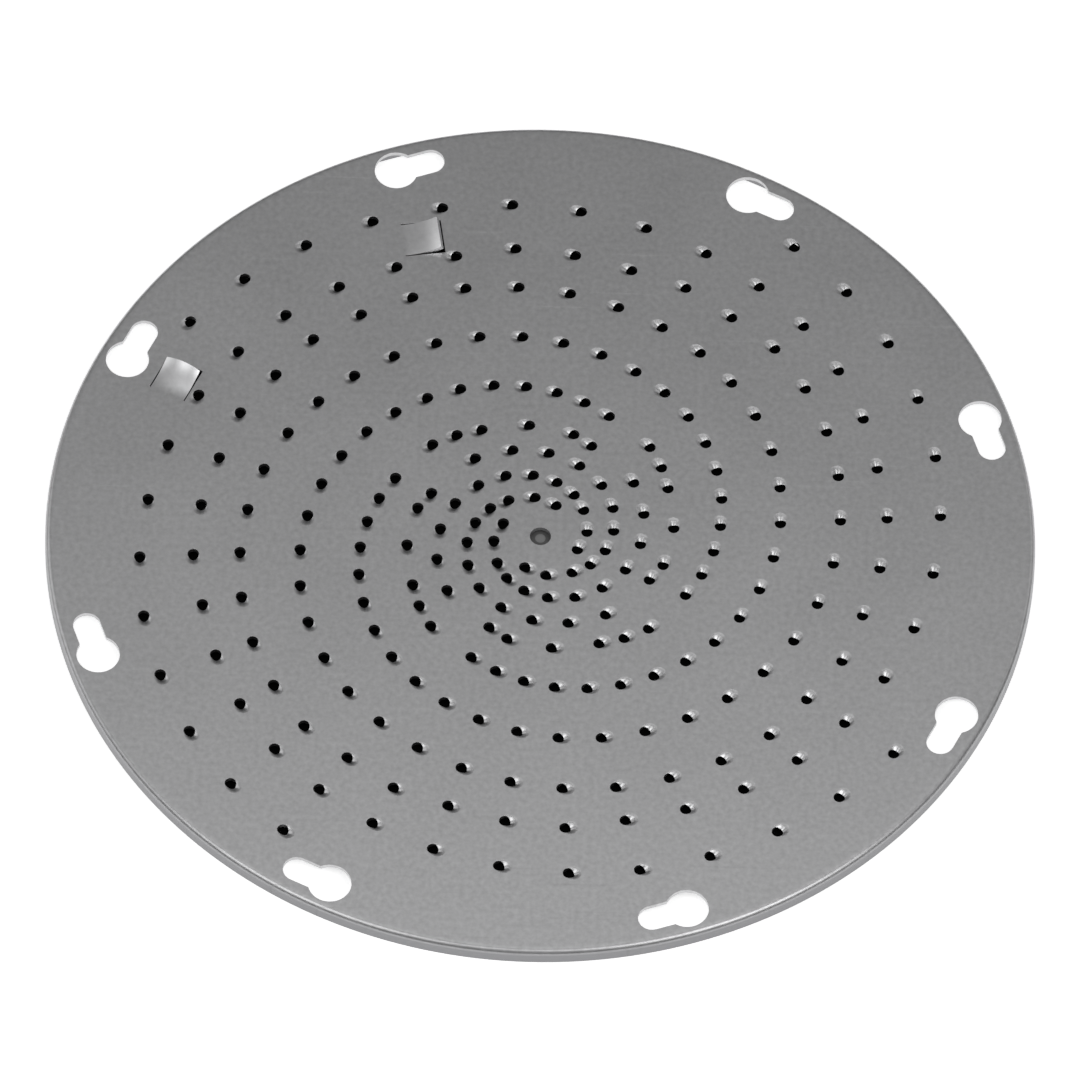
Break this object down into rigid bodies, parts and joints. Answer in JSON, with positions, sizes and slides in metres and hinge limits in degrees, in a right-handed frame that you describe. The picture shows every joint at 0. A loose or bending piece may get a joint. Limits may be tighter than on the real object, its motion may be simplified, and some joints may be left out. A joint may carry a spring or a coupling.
{
  "type": "shredder plate",
  "caption": "Round stainless shredder plate with spirals of drawn teeth, a turned rim, keyholes for a holder's studs and lanced tongues on its back.",
  "frame": {"origin": "middle of the circle that the rim's edge stands on", "axes": "+Z out of the plate's back, away from the teeth; +X to the right and +Y away from the viewer in the picture's view"},
  "size_m": [0.235, 0.235, 0.0064],
  "materials": {
    "stainless_sheet": "satin stainless steel"
  },
  "bodies": {
    "root": {"shredder_plate": "stainless_sheet"}
  },
  "joints": []
}
